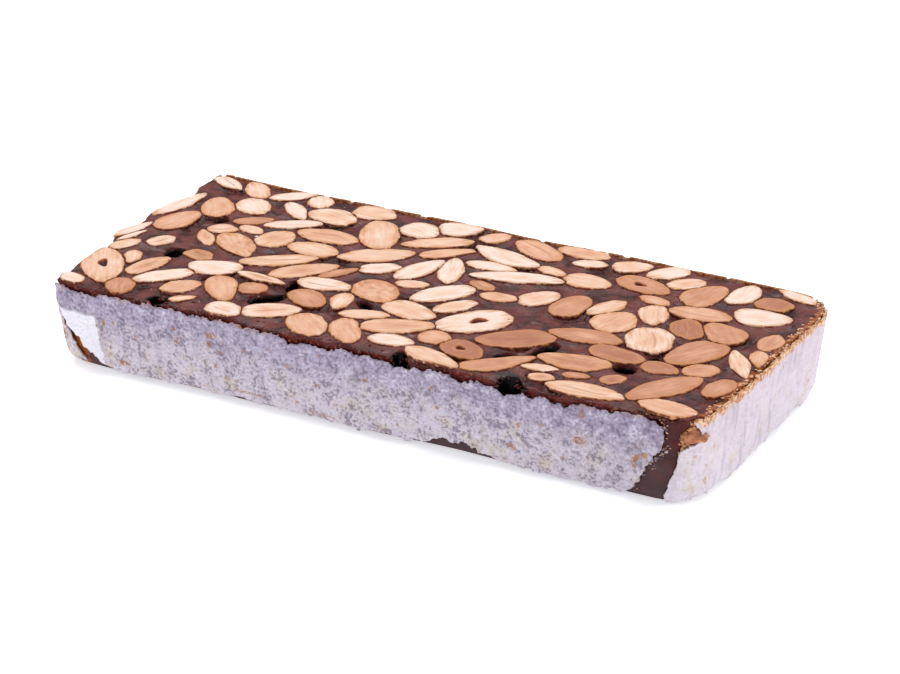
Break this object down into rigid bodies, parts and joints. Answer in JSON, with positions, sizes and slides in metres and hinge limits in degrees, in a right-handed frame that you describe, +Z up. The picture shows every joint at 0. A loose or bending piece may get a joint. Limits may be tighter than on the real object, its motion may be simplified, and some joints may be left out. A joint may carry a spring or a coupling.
{
  "type": "nougat bar",
  "caption": "Thick slab of dark caramelised nougat packed with whole almonds, sawn so that the kernels show in section, with torn wafer sheets on its sides.",
  "frame": {"origin": "under the middle of the whole bar, on the surface it rests on", "axes": "+X along the bar's length, +Y from the front wall to the back wall, +Z up through the sawn face"},
  "size_m": [0.1956, 0.091, 0.025],
  "materials": {
    "nougat": "dark honey caramel, sawn, slightly glossy, purple-brown",
    "almond": "cut almond kernel, matt, cream to toasted tan with a thin brown skin",
    "wafer": "edible wafer sheet with a grainy sugar crust, matt, greyish white"
  },
  "bodies": {
    "root": {"nougat": "nougat", "almond_01": "almond", "almond_02": "almond", "almond_03": "almond", "almond_04": "almond", "almond_05": "almond", "almond_06": "almond", "almond_07": "almond", "almond_08": "almond", "almond_09": "almond", "almond_10": "almond", "almond_11": "almond", "almond_12": "almond", "almond_13": "almond", "almond_14": "almond", "almond_15": "almond", "almond_16": "almond", "almond_17": "almond", "almond_18": "almond", "almond_19": "almond", "almond_20": "almond", "almond_21": "almond", "almond_22": "almond", "almond_23": "almond", "almond_24": "almond", "almond_25": "almond", "almond_26": "almond", "almond_27": "almond", "almond_28": "almond", "almond_29": "almond", "almond_30": "almond", "almond_31": "almond", "almond_32": "almond", "almond_33": "almond", "almond_34": "almond", "almond_35": "almond", "almond_36": "almond", "almond_37": "almond", "almond_38": "almond", "almond_39": "almond", "almond_40": "almond", "almond_41": "almond", "almond_42": "almond", "almond_43": "almond", "almond_44": "almond", "almond_45": "almond", "almond_46": "almond", "almond_47": "almond", "almond_48": "almond", "almond_49": "almond", "almond_50": "almond", "almond_51": "almond", "almond_52": "almond", "almond_53": "almond", "almond_54": "almond", "almond_55": "almond", "wafer_front": "wafer", "wafer_right": "wafer", "wafer_back": "wafer", "wafer_left": "wafer"}
  },
  "joints": []
}
